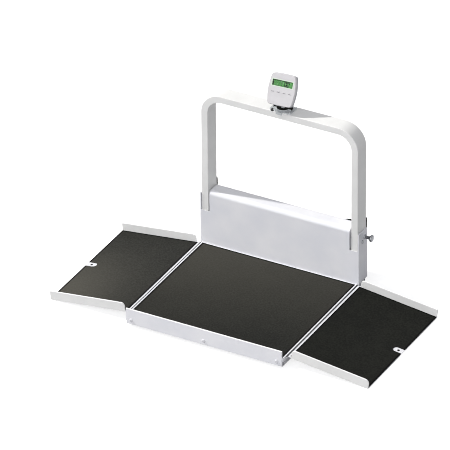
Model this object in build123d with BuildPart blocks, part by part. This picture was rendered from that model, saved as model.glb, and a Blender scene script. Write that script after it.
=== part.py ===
from build123d import *
import os
from math import asin, cos, degrees, radians, sin, sqrt

os.makedirs("parts", exist_ok=True)

# Platform, in millimetres: X runs across the two ramps, Y from the front lip to the rear box
platform_width = 900
platform_depth = 820
deck_top = 64
mat_thickness = 2.5
deck_sheet = 3
mat_gap = 1
mat_back_gap = 8
mat_corner = 2

# Front lip, a folded plate with a thick rounded top edge
lip_thickness = 8
lip_top = 109
lip_bottom = 21
lip_edge_radius = 3
lip_corner_left = 28
lip_corner_right = 5
lip_screw_inset = 29
lip_screw_z = 43
screw_shank = 6
screw_head = 15
screw_head_height = 4.5
screw_clearance = 0.1
shoulder_share = 0.6
crown_share = 0.8
flat_share = 0.4

# Base frame of welded tube below the deck
rail_width = 30
rail_height = 44
rail_wall = 2.5
cross_width = 40
cross_height = 30
cross_inset = 290

# Load cells and levelling feet
cell_length = 140
cell_width = 32
cell_height = 26
cell_seat = 6.5
cell_seat_length = 40
cell_hole = 18
cell_hole_spacing = 20
cell_inset = 104
cell_front_y = 92
cell_rear_inset = 64
foot_inset = 20
foot_stud = 12
foot_disc = 46
foot_disc_height = 6
foot_nut_width = 19
foot_nut_height = 6
pad_radius = 27
pad_height = 8
pad_recess = 2
pad_edge_chamfer = 1.5
fit_clearance = 0.1

# Junction box for the load cell wires
junction_length = 120
junction_width = 80
junction_height = 28
junction_radius = 6
junction_y = 520
gland_radius = 6
gland_length = 12
gland_spacing = 26

# Edge strips and ramp hinges
strip_overhang = 4.5
strip_width = 7
strip_depth = 22
strip_thickness = 3
hinge_offset = 8.5
hinge_drop = 4
hinge_rod = 4
knuckle_radius = 3.5
knuckle_count = 7
knuckle_gap = 0.6
knuckle_web = 3
running_clearance = 0.05

# Ramps
ramp_front = 45
ramp_back_gap = 5
ramp_length = 464
ramp_sheet = 3
ramp_edge_gap = 4
ramp_strip = 10.5
flange_thickness = 7
flange_start = 22
flange_rise = 43
flange_drop = 3.5
flange_inner_radius = 20
flange_corner = 4
flange_wide_corner = 22
flange_toe_radius = 7
flange_edge_chamfer = 1.5
glide_thickness = 2.5
glide_width = 30
tab_width = 40
tab_length = 56
tab_hole = 11
tab_hole_inset = 26
tab_clear = 60

# Rear box
box_overhang = 12
box_depth = 96
box_top = 380
box_sheet = 3
box_top_radius = 22
notch_depth = 54
cheek_thickness = 5
pivot_wall = 6
ledge_height = 258
cheek_height = 360
cheek_back_radius = 18
cover_thickness = 3
cover_gap = 0.3
cover_screw_inset = 14
cover_screw_count = 5
cover_screw_radius = 4
cover_screw_height = 2.4

# Handrail, a bent rectangular tube
post_inset = 8
tube_thick = 37
tube_depth = 94
tube_wall = 2.5
tube_edge_chamfer = 1.5
bend_inner = 79
handrail_top = 960
post_front_gap = 3
post_foot_gap = 1
pivot_setback = 41
pivot_rise = 41
pivot_bolt = 12
bush_radius = 9
bush_gap = 0.3
bolt_head_radius = 9
bolt_head_height = 5
bolt_nut_width = 19
bolt_nut_height = 9
plug_height = 26
plug_clearance = 0.2
buffer_width = 24
buffer_height = 68
buffer_depth = 15
buffer_z = 376

# Index plunger that locks the handrail
plunger_back = 22
plunger_rise = 20
plunger_pin = 8
plunger_nose_gap = 0.3
sleeve_radius = 9
sleeve_hex = 22
sleeve_hex_height = 7
knob_gap = 0.3
knob_neck = 15
knob_base = 22
knob_head = 38
knob_length = 40
knob_rim = 5
index_hole_clearance = 0.3

# Castors on the back of the rear box
castor_height = 125
castor_inset = 116
castor_high_z = 273
castor_low_z = 108
castor_plate = 70
castor_plate_thickness = 3
castor_plate_radius = 8
castor_gap = 0.4
swivel_radius = 24
swivel_height = 6
stem_radius = 6
fork_sheet = 3
fork_inner = 36
fork_width = 44
castor_trail = 30
wheel_radius = 50
wheel_width = 30
wheel_edge_chamfer = 5
wheel_web_recess = 4
wheel_rim = 14
axle_radius = 4
axle_head_radius = 7
axle_head_height = 3
hub_radius = 13
castor_bolt_radius = 4.5
castor_bolt_height = 3
castor_bolt_inset = 9
castor_angles = {"high_left": 270, "high_right": 165, "low_left": 262, "low_right": 278}

# Display head, its saddle on the handrail and its yoke
saddle_length = 124
saddle_thickness = 4
saddle_margin = 7
saddle_radius = 10
tongue_width = 34
tongue_drop = 10
saddle_screw_x = 52
saddle_screw_radius = 5
saddle_screw_height = 3
turntable_radius = 34
turntable_height = 5
turntable_gap = 0.3
pan_stud = 6
pan_stud_head = 11
pan_stud_head_height = 4
yoke_ear_x = 46
yoke_ear_thickness = 4
yoke_ear_radius = 10
yoke_gap = 0.3
tilt_axis_height = 44
tilt_bolt_radius = 4
tilt_knob_radius = 9
tilt_knob_height = 7
head_yaw = 4
head_tilt = 26
head_height = 166
head_top_width = 130
head_bottom_width = 131
head_mid_width = 151
head_bow = 3
head_corner_radius = 16
head_front_depth = 17
head_seam = 2
head_back_depth = 23
head_back_chamfer = 9
head_edge_chamfer = 3
head_wall = 3
lug_radius = 12
lug_setback = 12
lug_drop = 60
window_width = 113
window_height = 32
window_top = 34
window_sheet = 2
window_recess = 1
window_clearance = 0.2
lcd_thickness = 5
board_thickness = 2
board_margin = 12
board_gap = 2
key_row = 96
key_pitch = 31.5
key_length = 17
key_width = 8
key_rise = 1
key_depth = 5
key_clearance = 0.4
key_flange = 1.2
key_flange_gap = 0.3
key_count = 4

overrun = 1

# Places worked out from the sizes above
overall_depth = platform_depth + box_depth + castor_height
front_y = -overall_depth / 2
box_front = front_y + platform_depth
box_back = box_front + box_depth
deck_half = platform_width / 2
lip_screw_x = deck_half - lip_screw_inset
cross_x = deck_half - cross_inset
cell_x = deck_half - cell_inset
cell_rear_y = platform_depth + box_depth - cell_rear_inset
ramp_width = platform_depth - ramp_front - ramp_back_gap
box_half_width = deck_half + box_overhang
notch_inner = box_half_width - notch_depth
post_outer = box_half_width - post_inset
castor_x = box_half_width - castor_inset
plate_top = deck_top - mat_thickness
plate_bottom = plate_top - deck_sheet
rail_bottom = plate_bottom - rail_height
strip_outer = deck_half + strip_overhang
strip_inner = strip_outer - strip_width
hinge_x = deck_half + hinge_offset
hinge_z = deck_top - hinge_drop
ramp_y = front_y + ramp_front
ramp_slope = degrees(asin((hinge_z - ramp_sheet / 2 - glide_thickness) / ramp_length))
cheek_inner = box_half_width - cheek_thickness
pivot_y = box_front + pivot_setback
pivot_z = ledge_height + pivot_rise
post_y = box_front + post_front_gap
handrail_foot = ledge_height + post_foot_gap
bar_mid_y = post_y + tube_depth / 2


def save(piece, name):
    """Name a finished piece and write it."""
    piece.part.label = name
    export_step(piece.part, f"parts/{name}.step")


def hex_circle(across_flats):
    """Corner radius of a hexagon from its width across flats."""
    return across_flats / sqrt(3)


# Deck plate and its ribbed mat
with BuildPart() as deck_plate:
    with BuildSketch(Plane.XY.offset(plate_bottom)):
        with Locations((0, (front_y + lip_thickness + box_back) / 2)):
            Rectangle(2 * strip_inner, box_back - front_y - lip_thickness)
    extrude(amount=deck_sheet)
save(deck_plate, "deck_plate")

with BuildPart() as deck_mat:
    with BuildSketch(Plane.XY.offset(plate_top)):
        with Locations((0, (front_y + lip_thickness + mat_gap + box_front - mat_back_gap) / 2)):
            RectangleRounded(2 * (strip_inner - mat_gap), platform_depth - lip_thickness - mat_gap - mat_back_gap,
                             mat_corner)
    extrude(amount=mat_thickness)
save(deck_mat, "deck_mat")

# Front lip and its three dome screws
lip_back = front_y + lip_thickness
with BuildPart() as front_lip:
    with BuildSketch(Plane.XZ.offset(-front_y)) as lip_outline:
        with BuildLine():
            Polyline((-deck_half, lip_top), (deck_half, lip_top), (deck_half, lip_bottom),
                     (-deck_half, lip_bottom), close=True)
        make_face()
        fillet(lip_outline.vertices().group_by(Axis.Y)[0].sort_by(Axis.X)[-1], radius=lip_corner_right)
        fillet(lip_outline.vertices().group_by(Axis.Y)[0].sort_by(Axis.X)[0], radius=lip_corner_left)
    extrude(amount=-lip_thickness)
    fillet(front_lip.edges().filter_by(Axis.X).group_by(Axis.Z)[-1], radius=lip_edge_radius)
    with Locations(Plane.XZ.offset(-front_y)):
        with Locations((-lip_screw_x, lip_screw_z), (0, lip_screw_z), (lip_screw_x, lip_screw_z)):
            Hole(screw_shank / 2 + screw_clearance, depth=lip_thickness + overrun)
save(front_lip, "front_lip")

with BuildPart() as lip_screws:
    for x in (-lip_screw_x, 0, lip_screw_x):
        with BuildSketch(Plane.YZ.offset(x)):
            with BuildLine():
                Polyline((front_y - screw_head_height, lip_screw_z), (front_y + lip_thickness + rail_wall, lip_screw_z),
                         (front_y + lip_thickness + rail_wall, lip_screw_z + screw_shank / 2),
                         (front_y, lip_screw_z + screw_shank / 2), (front_y, lip_screw_z + screw_head / 2))
                Polyline((front_y, lip_screw_z + screw_head / 2),
                         (front_y - screw_head_height * shoulder_share, lip_screw_z + screw_head / 2 * crown_share),
                         (front_y - screw_head_height, lip_screw_z + screw_head / 2 * flat_share),
                         (front_y - screw_head_height, lip_screw_z))
            make_face()
        revolve(axis=Axis((x, front_y, lip_screw_z), (0, 1, 0)))
save(lip_screws, "lip_screws")


def tube_between(low, high, along):
    """Rectangular tube filling the box from low to high, hollow along one axis."""
    size = [b - a for a, b in zip(low, high)]
    centre = [(a + b) / 2 for a, b in zip(low, high)]
    core = [s + 2 * overrun if i == along else s - 2 * rail_wall for i, s in enumerate(size)]
    with BuildPart() as tube:
        with Locations(tuple(centre)):
            Box(*size)
            Box(*core, mode=Mode.SUBTRACT)
    return tube


rail_front_back = lip_back + rail_width
rail_rear_front = box_back - rail_width
rail_front = tube_between((-deck_half, lip_back, rail_bottom), (deck_half, rail_front_back, plate_bottom), 0)
with BuildPart() as rail_front_drilled:
    add(rail_front.part)
    with Locations(Plane.XZ.offset(-lip_back)):
        with Locations((-lip_screw_x, lip_screw_z), (0, lip_screw_z), (lip_screw_x, lip_screw_z)):
            Hole(screw_shank / 2 + screw_clearance, depth=rail_wall + overrun)
save(rail_front_drilled, "base_rail_front")
save(tube_between((-deck_half, rail_rear_front, rail_bottom), (deck_half, box_back, plate_bottom), 0),
     "base_rail_rear")
for side, name in ((-1, "left"), (1, "right")):
    inner, outer = sorted((side * (deck_half - rail_width), side * deck_half))
    save(tube_between((inner, rail_front_back, rail_bottom), (outer, rail_rear_front, plate_bottom), 1),
         f"base_rail_{name}")
    save(tube_between((side * cross_x - cross_width / 2, rail_front_back, plate_bottom - cross_height),
                      (side * cross_x + cross_width / 2, rail_rear_front, plate_bottom), 1),
         f"base_crossbar_{name}")

# Load cells: a bar with the twin bending holes, seated below the plate at its inner end
cell_top = plate_bottom - cell_seat
cell_places = [(sx * cell_x, front_y + y, sx) for y in (cell_front_y, cell_rear_y) for sx in (-1, 1)]
foot_reach = cell_length / 2 - foot_inset
with BuildPart() as load_cells:
    for x, y, sx in cell_places:
        with Locations((x, y, cell_top - cell_height / 2)):
            Box(cell_length, cell_width, cell_height)
        with Locations((x - sx * (cell_length - cell_seat_length) / 2, y, cell_top + cell_seat / 2)):
            Box(cell_seat_length, cell_width, cell_seat)
        with BuildSketch(Plane.XZ.offset(-(y - cell_width / 2))):
            with Locations((x, cell_top - cell_height / 2)):
                SlotCenterToCenter(cell_hole_spacing, cell_hole)
        extrude(amount=-cell_width, mode=Mode.SUBTRACT)
        with Locations((x + sx * foot_reach, y, cell_top)):
            Hole(foot_stud / 2 + fit_clearance, depth=cell_height + overrun)
save(load_cells, "load_cells")

with BuildPart() as level_feet:
    for x, y, sx in cell_places:
        foot_x = x + sx * foot_reach
        with BuildSketch(Plane.XY.offset(pad_height - pad_recess)):
            with Locations((foot_x, y)):
                Circle(foot_disc / 2)
        extrude(amount=foot_disc_height)
        with BuildSketch(Plane.XY.offset(pad_height)):
            with Locations((foot_x, y)):
                Circle(foot_stud / 2)
        extrude(amount=cell_top - pad_height)
        with BuildSketch(Plane.XY.offset(cell_top - cell_height - foot_nut_height)):
            with Locations((foot_x, y)):
                RegularPolygon(hex_circle(foot_nut_width), 6)
        extrude(amount=foot_nut_height)
save(level_feet, "level_feet")

with BuildPart() as foot_pads:
    for x, y, sx in cell_places:
        with BuildSketch(Plane.XY):
            with Locations((x + sx * foot_reach, y)):
                Circle(pad_radius)
        extrude(amount=pad_height)
    chamfer(foot_pads.edges().group_by(Axis.Z)[0] + foot_pads.edges().group_by(Axis.Z)[-1], length=pad_edge_chamfer)
    for x, y, sx in cell_places:
        with Locations((x + sx * foot_reach, y, pad_height)):
            Hole(foot_disc / 2 + fit_clearance, depth=pad_recess)
save(foot_pads, "foot_pads")

with BuildPart() as junction_box:
    with BuildSketch(Plane.XY.offset(plate_bottom)):
        with Locations((0, front_y + junction_y)):
            RectangleRounded(junction_length, junction_width, junction_radius)
    extrude(amount=-junction_height)
    with BuildSketch(Plane.XZ.offset(-(front_y + junction_y - junction_width / 2))):
        with Locations((0, plate_bottom - junction_height / 2)):
            with GridLocations(gland_spacing, 0, key_count, 1):
                Circle(gland_radius)
    extrude(amount=gland_length)
save(junction_box, "junction_box")

# Edge strips, hinge knuckles and rods; the ramp works in its own sloping frame
knuckle_step = ramp_width / knuckle_count


def knuckle_spans(first):
    """Start and end along Y of every second knuckle."""
    return [(ramp_y + i * knuckle_step + knuckle_gap / 2, ramp_y + (i + 1) * knuckle_step - knuckle_gap / 2)
            for i in range(first, knuckle_count, 2)]


with BuildPart() as edge_strip_right:
    with BuildSketch(Plane.XZ.offset(-(lip_back))):
        with BuildLine():
            Polyline((strip_inner, plate_top), (strip_inner, deck_top), (strip_outer, deck_top),
                     (strip_outer, deck_top - strip_depth), (deck_half, deck_top - strip_depth),
                     (deck_half, plate_bottom), (strip_inner, plate_bottom), close=True)
        make_face()
    extrude(amount=-(box_front - lip_back))
    for start, end in knuckle_spans(0):
        with BuildSketch(Plane.XZ.offset(-start)):
            with Locations((hinge_x, hinge_z)):
                Circle(knuckle_radius)
            with Locations(((strip_outer + hinge_x) / 2, hinge_z - knuckle_radius + knuckle_web / 2)):
                Rectangle(hinge_x - strip_outer, knuckle_web)
        extrude(amount=-(end - start))
    with BuildSketch(Plane.XZ.offset(-ramp_y)):
        with Locations((hinge_x, hinge_z)):
            Circle(hinge_rod / 2)
    extrude(amount=-ramp_width, mode=Mode.SUBTRACT)
with BuildPart() as edge_strip_left:
    mirror(edge_strip_right.part, about=Plane.YZ)
with BuildPart() as hinge_rod_right:
    with BuildSketch(Plane.XZ.offset(-ramp_y)):
        with Locations((hinge_x, hinge_z)):
            Circle(hinge_rod / 2)
    extrude(amount=-ramp_width)
with BuildPart() as hinge_rod_left:
    mirror(hinge_rod_right.part, about=Plane.YZ)
save(edge_strip_right, "edge_strip_right")
save(edge_strip_left, "edge_strip_left")
save(hinge_rod_right, "hinge_rod_right")
save(hinge_rod_left, "hinge_rod_left")

slope_dir = (cos(radians(ramp_slope)), 0, -sin(radians(ramp_slope)))
slope_up = (sin(radians(ramp_slope)), 0, cos(radians(ramp_slope)))
ramp_frame = Plane((hinge_x, ramp_y, hinge_z), x_dir=slope_dir, z_dir=slope_up)
ramp_side = Plane((hinge_x, ramp_y, hinge_z), x_dir=slope_dir, z_dir=(0, -1, 0))
sheet_low, sheet_high = -ramp_sheet / 2, ramp_sheet / 2
flange_low = sheet_low - flange_drop
flange_high = sheet_high + mat_thickness + flange_rise
ramp_middle = ramp_width / 2


def make_flanges(front_corner, back_corner):
    """Side plates that stop a wheel from rolling off, one at each end of the ramp."""
    with BuildPart() as flanges:
        for start, corner in ((0, front_corner), (ramp_width - flange_thickness, back_corner)):
            with BuildSketch(ramp_side.offset(-start)):
                with BuildLine():
                    FilletPolyline((flange_start, flange_low), (ramp_length, flange_low), (ramp_length, flange_high),
                                   (flange_start, flange_high),
                                   radius=[flange_corner, flange_toe_radius, corner, flange_inner_radius],
                                   close=True)
                make_face()
            extrude(amount=-flange_thickness)
        top_edges = flanges.edges().filter_by(Axis(ramp_frame.origin, ramp_frame.x_dir)).filter_by(
            lambda e: (e.center() - ramp_frame.origin).dot(ramp_frame.z_dir) > flange_high - running_clearance)
        chamfer(top_edges, length=flange_edge_chamfer)
    return flanges


ramp_flanges_right = make_flanges(flange_wide_corner, flange_corner)
ramp_flanges_plain = make_flanges(flange_corner, flange_corner)
with BuildPart() as ramp_flanges_left:
    mirror(ramp_flanges_plain.part, about=Plane.YZ)
save(ramp_flanges_right, "ramp_flanges_right")
save(ramp_flanges_left, "ramp_flanges_left")

with BuildPart() as ramp_plate_right:
    with BuildSketch(ramp_frame.offset(sheet_low)):
        with Locations(((ramp_edge_gap + ramp_length) / 2, ramp_middle)):
            Rectangle(ramp_length - ramp_edge_gap, ramp_width - 2 * flange_thickness)
        with Locations(((ramp_edge_gap + flange_start) / 2, ramp_middle)):
            Rectangle(flange_start - ramp_edge_gap, ramp_width)
        with Locations((ramp_length - tab_hole_inset, ramp_middle)):
            Circle(tab_hole / 2, mode=Mode.SUBTRACT)
    extrude(amount=ramp_sheet)
    for start, end in knuckle_spans(1):
        with BuildSketch(ramp_side.offset(ramp_y - start)):
            Circle(knuckle_radius)
            with Locations((ramp_edge_gap / 2, 0)):
                Rectangle(ramp_edge_gap, ramp_sheet)
        extrude(amount=-(end - start))
    with BuildSketch(ramp_side):
        Circle(hinge_rod / 2 + running_clearance)
    extrude(amount=-ramp_width, mode=Mode.SUBTRACT)
with BuildPart() as ramp_plate_left:
    mirror(ramp_plate_right.part, about=Plane.YZ)
save(ramp_plate_right, "ramp_plate_right")
save(ramp_plate_left, "ramp_plate_left")

with BuildPart() as ramp_mat_right:
    with BuildSketch(ramp_frame.offset(sheet_high)):
        mat_start = ramp_edge_gap + ramp_strip
        with Locations(((mat_start + ramp_length) / 2, ramp_middle)):
            Rectangle(ramp_length - mat_start, ramp_width - 2 * (flange_thickness + mat_gap))
        with Locations((ramp_length - tab_length + tab_width / 2, ramp_middle)):
            Circle(tab_width / 2, mode=Mode.SUBTRACT)
        with Locations((ramp_length - (tab_length - tab_width / 2) / 2, ramp_middle)):
            Rectangle(tab_length - tab_width / 2, tab_width, mode=Mode.SUBTRACT)
    extrude(amount=mat_thickness)
with BuildPart() as ramp_mat_left:
    mirror(ramp_mat_right.part, about=Plane.YZ)
save(ramp_mat_right, "ramp_mat_right")
save(ramp_mat_left, "ramp_mat_left")

glide_run = ramp_middle - flange_thickness - tab_clear / 2
with BuildPart() as ramp_glide_right:
    with BuildSketch(ramp_frame.offset(sheet_low)):
        for centre in (flange_thickness + glide_run / 2, ramp_width - flange_thickness - glide_run / 2):
            with Locations((ramp_length - glide_width / 2, centre)):
                Rectangle(glide_width, glide_run)
    extrude(amount=-glide_thickness)
with BuildPart() as ramp_glide_left:
    mirror(ramp_glide_right.part, about=Plane.YZ)
save(ramp_glide_right, "ramp_glide_right")
save(ramp_glide_left, "ramp_glide_left")

# Rear box: a folded sheet housing with a channel for each handrail post
box_bottom = plate_top
box_mid_y = (box_front + box_back) / 2
channel_low = box_bottom + box_sheet
channel_high = ledge_height - box_sheet
opening_high = box_top - box_top_radius - box_sheet
with BuildPart() as rear_box:
    with BuildSketch(Plane.YZ.offset(-notch_inner)) as box_side:
        with Locations((box_mid_y, (box_bottom + box_top) / 2)):
            Rectangle(box_depth, box_top - box_bottom)
        fillet(box_side.vertices().group_by(Axis.Y)[-1], radius=box_top_radius)
    extrude(amount=2 * notch_inner)
    with Locations((0, box_mid_y, (box_bottom + ledge_height) / 2)):
        Box(2 * box_half_width, box_depth, ledge_height - box_bottom)
    for side in (-1, 1):
        with BuildSketch(Plane.YZ.offset(side * cheek_inner)) as cheek_side:
            with Locations((box_mid_y, (box_bottom + cheek_height) / 2)):
                Rectangle(box_depth, cheek_height - box_bottom)
            fillet(cheek_side.vertices().group_by(Axis.Y)[-1].sort_by(Axis.X)[-1], radius=cheek_back_radius)
        extrude(amount=side * cheek_thickness)
    with BuildSketch(Plane.YZ.offset(-(notch_inner - pivot_wall))) as hollow_side:
        with Locations((box_mid_y, (channel_low + box_top - box_sheet) / 2)):
            Rectangle(box_depth - 2 * box_sheet, box_top - box_sheet - channel_low)
        fillet(hollow_side.vertices().group_by(Axis.Y)[-1], radius=box_top_radius - box_sheet)
        with Locations((box_back, (channel_low + opening_high) / 2)):
            Rectangle(2 * (box_sheet + overrun), opening_high - channel_low)
    extrude(amount=2 * (notch_inner - pivot_wall), mode=Mode.SUBTRACT)
    with Locations((0, box_mid_y, (channel_low + channel_high) / 2)):
        Box(2 * cheek_inner, box_depth - 2 * box_sheet, channel_high - channel_low, mode=Mode.SUBTRACT)
    for side in (-1, 1):
        with Locations((side * (notch_inner + cheek_inner) / 2, box_mid_y, ledge_height)):
            Box(cheek_inner - notch_inner, box_depth - 2 * box_sheet, 2 * (box_sheet + overrun), mode=Mode.SUBTRACT)
    with Locations(Plane.YZ.offset(box_half_width)):
        with Locations((pivot_y, pivot_z)):
            Hole(pivot_bolt / 2 + fit_clearance, depth=2 * box_half_width)
        with Locations((pivot_y + plunger_back, pivot_z + plunger_rise)):
            Hole(sleeve_radius, depth=cheek_thickness + overrun)
save(rear_box, "rear_box")

cover_half = notch_inner - pivot_wall - cover_gap
cover_low = box_bottom + box_sheet + cover_gap
cover_high = opening_high - cover_gap
cover_screw_z = (cover_low + cover_screw_inset, cover_high - cover_screw_inset)
cover_screw_step = 2 * (cover_half - cover_screw_inset) / (cover_screw_count - 1)
with BuildPart() as rear_cover:
    with BuildSketch(Plane.XZ.offset(-box_back)):
        with Locations((0, (cover_low + cover_high) / 2)):
            Rectangle(2 * cover_half, cover_high - cover_low)
    extrude(amount=cover_thickness)
save(rear_cover, "rear_cover")

with BuildPart() as cover_screws:
    with BuildSketch(Plane.XZ.offset(-box_back)):
        with Locations((0, sum(cover_screw_z) / 2)):
            with GridLocations(cover_screw_step, cover_screw_z[1] - cover_screw_z[0], cover_screw_count, 2):
                RegularPolygon(cover_screw_radius, 6)
    extrude(amount=-cover_screw_height, taper=20)
save(cover_screws, "cover_screws")

# Handrail: the bent tube is a band of constant thickness, hollow inside
bend_outer = bend_inner + tube_thick


def handrail_band(margin):
    """Face of the bent tube seen from the front, drawn in by a margin on both sides."""
    half = post_outer - margin
    top = handrail_top - margin
    thick = tube_thick - 2 * margin
    with BuildSketch(Plane.XZ.offset(-(post_y + margin))) as band:
        with BuildLine():
            outer_path = FilletPolyline((-half, handrail_foot), (-half, top), (half, top), (half, handrail_foot),
                                        radius=bend_outer - margin)
            inner_path = FilletPolyline((-half + thick, handrail_foot), (-half + thick, top - thick),
                                        (half - thick, top - thick), (half - thick, handrail_foot),
                                        radius=bend_inner + margin)
            Line(outer_path @ 0, inner_path @ 0)
            Line(outer_path @ 1, inner_path @ 1)
        make_face()
    return band


with BuildPart() as handrail:
    handrail_outer = handrail_band(0)
    extrude(handrail_outer.sketch, amount=-tube_depth)
    chamfer(handrail.faces().sort_by(Axis.Y)[0].edges().filter_by(lambda e: e.center().Z > handrail_foot + overrun)
            + handrail.faces().sort_by(Axis.Y)[-1].edges().filter_by(lambda e: e.center().Z > handrail_foot + overrun),
            length=tube_edge_chamfer)
    handrail_inner = handrail_band(tube_wall)
    extrude(handrail_inner.sketch, amount=-(tube_depth - 2 * tube_wall), mode=Mode.SUBTRACT)
    with Locations(Plane.YZ.offset(post_outer)):
        with Locations((pivot_y, pivot_z)):
            Hole(bush_radius, depth=2 * post_outer)
        with Locations((pivot_y + plunger_back, pivot_z + plunger_rise),
                       (pivot_y + plunger_rise, pivot_z - plunger_back)):
            Hole(plunger_pin / 2 + index_hole_clearance, depth=tube_wall + overrun)
save(handrail, "handrail_tube")

post_mid_x = post_outer - tube_thick / 2
with BuildPart() as post_plugs:
    for side in (-1, 1):
        with BuildSketch(Plane.XY.offset(handrail_foot)):
            with Locations((side * post_mid_x, bar_mid_y)):
                Rectangle(tube_thick - 2 * (tube_wall + plug_clearance), tube_depth - 2 * (tube_wall + plug_clearance))
        extrude(amount=plug_height)
save(post_plugs, "post_plugs")

# Rubber buffers on the backs of the posts
post_back = post_y + tube_depth
with BuildPart() as post_buffers:
    for side in (-1, 1):
        with BuildSketch(Plane.YZ.offset(side * post_mid_x - buffer_width / 2)):
            with BuildLine():
                ThreePointArc((post_back, buffer_z - buffer_height / 2), (post_back + buffer_depth, buffer_z),
                              (post_back, buffer_z + buffer_height / 2))
                Line((post_back, buffer_z - buffer_height / 2), (post_back, buffer_z + buffer_height / 2))
            make_face()
        extrude(amount=buffer_width)
save(post_buffers, "post_buffers")

with BuildPart() as pivot_bushes:
    for side in (-1, 1):
        with BuildSketch(Plane.YZ.offset(side * (notch_inner + bush_gap))):
            with Locations((pivot_y, pivot_z)):
                Circle(bush_radius)
                Circle(pivot_bolt / 2 + running_clearance, mode=Mode.SUBTRACT)
        extrude(amount=side * (cheek_inner - notch_inner - 2 * bush_gap))
save(pivot_bushes, "pivot_bushes")

with BuildPart() as pivot_bolts:
    for side in (-1, 1):
        with BuildSketch(Plane.YZ.offset(side * (notch_inner - pivot_wall - bolt_nut_height))):
            with Locations((pivot_y, pivot_z)):
                Circle(pivot_bolt / 2)
        extrude(amount=side * (box_half_width - notch_inner + pivot_wall + bolt_nut_height))
        with BuildSketch(Plane.YZ.offset(side * (notch_inner - pivot_wall))):
            with Locations((pivot_y, pivot_z)):
                RegularPolygon(hex_circle(bolt_nut_width), 6)
        extrude(amount=-side * bolt_nut_height)
        with BuildSketch(Plane.YZ.offset(side * box_half_width)):
            with Locations((pivot_y, pivot_z)):
                Circle(bolt_head_radius)
        extrude(amount=side * bolt_head_height, taper=15)
save(pivot_bolts, "pivot_bolts")

# Index plunger: fixed sleeve in the right cheek, pull knob with its pin
plunger_y = pivot_y + plunger_back
plunger_z = pivot_z + plunger_rise
with BuildPart() as plunger_sleeve:
    with BuildSketch(Plane.YZ.offset(cheek_inner)):
        with Locations((plunger_y, plunger_z)):
            Circle(sleeve_radius)
            Circle(plunger_pin / 2 + running_clearance, mode=Mode.SUBTRACT)
    extrude(amount=cheek_thickness)
    with BuildSketch(Plane.YZ.offset(box_half_width)):
        with Locations((plunger_y, plunger_z)):
            RegularPolygon(hex_circle(sleeve_hex), 6)
            Circle(plunger_pin / 2 + running_clearance, mode=Mode.SUBTRACT)
    extrude(amount=sleeve_hex_height)
save(plunger_sleeve, "plunger_sleeve")

knob_start = box_half_width + sleeve_hex_height + knob_gap
with BuildPart() as plunger_knob:
    with BuildSketch(Plane.XY.offset(plunger_z)):
        with BuildLine():
            Polyline((post_outer + plunger_nose_gap, plunger_y), (post_outer + plunger_nose_gap, plunger_y + plunger_pin / 2),
                     (knob_start, plunger_y + plunger_pin / 2), (knob_start, plunger_y + knob_base / 2))
            Polyline((knob_start, plunger_y + knob_base / 2), (knob_start + knob_rim, plunger_y + knob_neck / 2),
                     (knob_start + knob_length / 2, plunger_y + knob_neck / 2),
                     (knob_start + knob_length - 2 * knob_rim, plunger_y + knob_head / 2 - knob_rim / 2),
                     (knob_start + knob_length - knob_rim, plunger_y + knob_head / 2),
                     (knob_start + knob_length - knob_rim / 2, plunger_y + knob_head / 2),
                     (knob_start + knob_length, plunger_y + knob_head / 2 - knob_rim),
                     (knob_start + knob_length, plunger_y), (post_outer + plunger_nose_gap, plunger_y))
        make_face()
    revolve(axis=Axis((0, plunger_y, plunger_z), (1, 0, 0)))
save(plunger_knob, "plunger_knob")

# Castors: plates on the rear cover, swivelling forks, wheels
castor_places = {"high_left": (-castor_x, castor_high_z), "high_right": (castor_x, castor_high_z),
                 "low_left": (-castor_x, castor_low_z), "low_right": (castor_x, castor_low_z)}
with BuildPart() as castor_plates:
    for x, z in castor_places.values():
        with BuildSketch(Plane.XZ.offset(-box_back)):
            with Locations((x, z)):
                RectangleRounded(castor_plate, castor_plate, castor_plate_radius)
        extrude(amount=-castor_plate_thickness)
        with BuildSketch(Plane.XZ.offset(-(box_back + castor_plate_thickness))):
            with Locations((x, z)):
                bolt_pitch = castor_plate - 2 * castor_bolt_inset
                with GridLocations(bolt_pitch, bolt_pitch, 2, 2):
                    RegularPolygon(castor_bolt_radius, 6)
        extrude(amount=-castor_bolt_height)
        with BuildSketch(Plane.XZ.offset(-(box_back + castor_plate_thickness))):
            with Locations((x, z)):
                Circle(stem_radius)
        extrude(amount=-(castor_gap + swivel_height + fork_sheet))
save(castor_plates, "castor_plates")

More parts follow.
